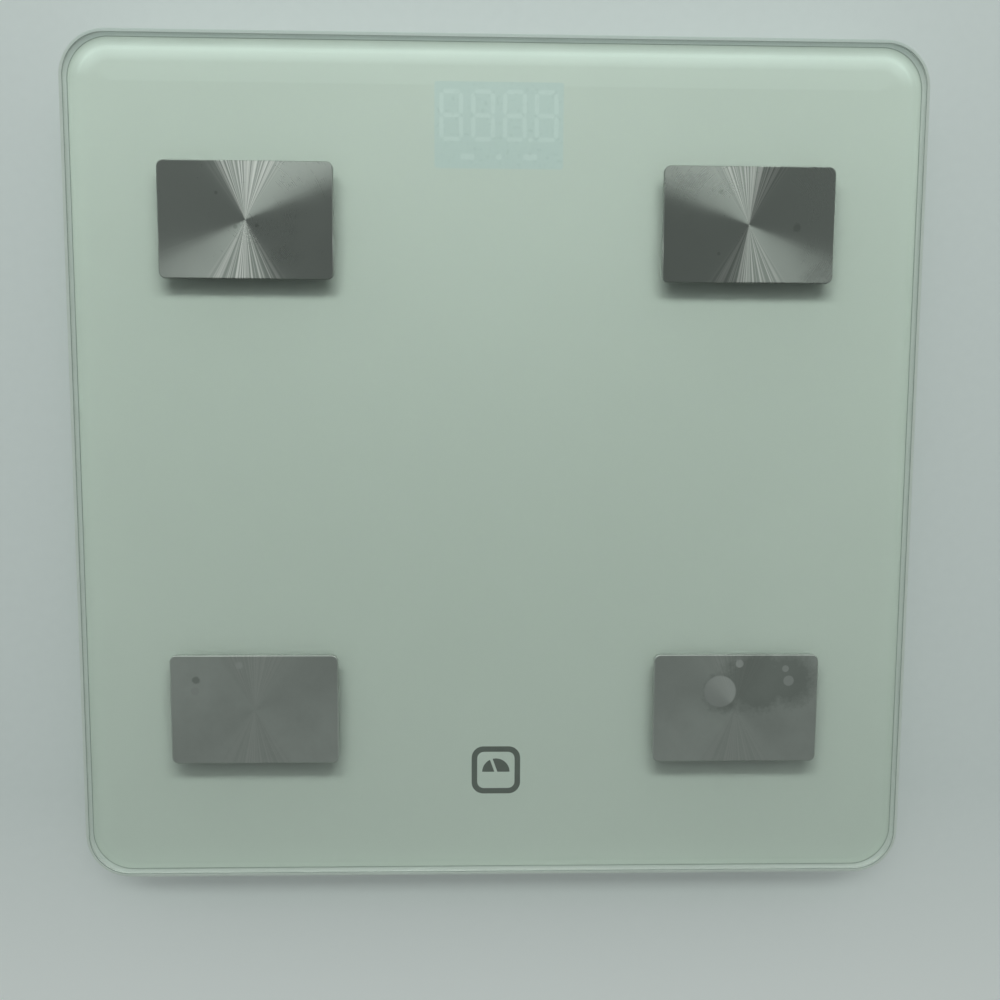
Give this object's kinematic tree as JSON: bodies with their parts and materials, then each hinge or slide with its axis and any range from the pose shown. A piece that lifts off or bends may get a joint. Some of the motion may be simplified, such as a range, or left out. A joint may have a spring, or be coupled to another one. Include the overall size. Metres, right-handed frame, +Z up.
{
  "type": "digital bathroom scale",
  "caption": "Low square bathroom scale: clear glass platform over a white back print, with raised steel electrode plates, a hidden display window and floating rubber feet.",
  "frame": {"origin": "on the ground under the middle of the platform, with the feet standing on Z = 0", "axes": "+Z up, +X to the right of a person standing on it, +Y towards the display end"},
  "size_m": [0.26, 0.26, 0.025],
  "materials": {
    "clear_glass": "clear tempered float glass, polished, faint green tint",
    "white_ink": "screen-printed off-white ink on the back of the glass",
    "display_film": "translucent grey-blue ink over the display",
    "display_segment": "unlit segments seen through the translucent ink",
    "dark_ink": "dark grey ink",
    "foam_tape": "acrylic foam bonding tape",
    "tray_plastic": "fine-textured white ABS",
    "blank_label": "blank silver polyester label",
    "circuit_board": "green solder mask",
    "screw_steel": "nickel-plated steel",
    "black_plastic": "black moulding compound",
    "black_foam": "closed-cell foam",
    "shield_metal": "tinned shield can",
    "button_plastic": "grey ABS",
    "contact_metal": "nickel-plated spring steel",
    "red_wire": "PVC insulation",
    "black_wire": "PVC insulation",
    "white_wire": "PVC insulation",
    "white_silicone": "silicone sealant",
    "cell_steel": "stamped spring steel",
    "cell_wrap": "plain shrink wrap",
    "electrode_steel": "stainless steel with a fine circular grain",
    "foot_plastic": "white ABS",
    "foot_rubber": "dark grey non-slip rubber"
  },
  "bodies": {
    "root": {"glass_platform": "clear_glass", "white_back_print": "white_ink", "display_window_film": "display_film", "display_segments": "display_segment", "printed_mark": "dark_ink", "perimeter_bond_tape": "foam_tape", "base_tray": "tray_plastic", "rating_label": "blank_label", "main_board": "circuit_board", "board_screws": "screw_steel", "led_display_module": "black_plastic", "display_gasket": "black_foam", "controller_chip": "black_plastic", "wireless_module": "shield_metal", "button_switch": "black_plastic", "battery_contact_plates": "contact_metal", "battery_contact_springs": "contact_metal", "battery_lead_positive": "red_wire", "battery_lead_negative": "black_wire", "gauge_covers": "white_silicone", "load_spacers": "cell_steel", "electrode_nuts": "screw_steel", "electrode_ring_terminals": "contact_metal", "aaa_cell_1": "cell_wrap", "aaa_cell_2": "cell_wrap", "aaa_cell_3": "cell_wrap", "aaa_cell_4": "cell_wrap", "electrode_front_left": "electrode_steel", "electrode_adhesive_front_left": "foam_tape", "electrode_lead_front_left": "white_wire", "load_cell_front_left": "cell_steel", "load_cell_lead_front_left": "white_wire", "electrode_front_right": "electrode_steel", "electrode_adhesive_front_right": "foam_tape", "electrode_lead_front_right": "white_wire", "load_cell_front_right": "cell_steel", "load_cell_lead_front_right": "white_wire", "electrode_rear_left": "electrode_steel", "electrode_adhesive_rear_left": "foam_tape", "electrode_lead_rear_left": "white_wire", "load_cell_rear_left": "cell_steel", "load_cell_lead_rear_left": "white_wire", "electrode_rear_right": "electrode_steel", "electrode_adhesive_rear_right": "foam_tape", "electrode_lead_rear_right": "white_wire", "load_cell_rear_right": "cell_steel", "load_cell_lead_rear_right": "white_wire"},
    "foot_front_left": {"foot_cup_front_left": "foot_plastic", "foot_pad_front_left": "foot_rubber"},
    "foot_front_right": {"foot_cup_front_right": "foot_plastic", "foot_pad_front_right": "foot_rubber"},
    "foot_rear_left": {"foot_cup_rear_left": "foot_plastic", "foot_pad_rear_left": "foot_rubber"},
    "foot_rear_right": {"foot_cup_rear_right": "foot_plastic", "foot_pad_rear_right": "foot_rubber"},
    "unit_button": {"unit_button": "button_plastic", "button_switch_plunger": "black_plastic"},
    "battery_door": {"battery_door": "tray_plastic", "battery_door_latch": "tray_plastic"}
  },
  "joints": [
    {"name": "foot_front_left_travel", "type": "slide", "parent": "root", "child": "foot_front_left", "axis": [0, 0, 1], "range_m": [0, 0.0008], "stiffness_N_per_m": 3000, "springref_m": -0.0013, "deforming": ["load_cell_front_left"]},
    {"name": "foot_front_right_travel", "type": "slide", "parent": "root", "child": "foot_front_right", "axis": [0, 0, 1], "range_m": [0, 0.0008], "stiffness_N_per_m": 3000, "springref_m": -0.0013, "deforming": ["load_cell_front_right"]},
    {"name": "foot_rear_left_travel", "type": "slide", "parent": "root", "child": "foot_rear_left", "axis": [0, 0, 1], "range_m": [0, 0.0008], "stiffness_N_per_m": 3000, "springref_m": -0.0013, "deforming": ["load_cell_rear_left"]},
    {"name": "foot_rear_right_travel", "type": "slide", "parent": "root", "child": "foot_rear_right", "axis": [0, 0, 1], "range_m": [0, 0.0008], "stiffness_N_per_m": 3000, "springref_m": -0.0013, "deforming": ["load_cell_rear_right"]},
    {"name": "unit_button_press", "type": "slide", "parent": "root", "child": "unit_button", "axis": [0, 0, 1], "range_m": [0, 0.0004], "stiffness_N_per_m": 3000},
    {"name": "battery_door_hinge", "type": "hinge", "parent": "root", "child": "battery_door", "pos_m": [0, -0.0092, 0.004], "axis": [-1, 0, 0], "range_deg": [0, 80], "deforming": ["battery_door_latch"]}
  ]
}
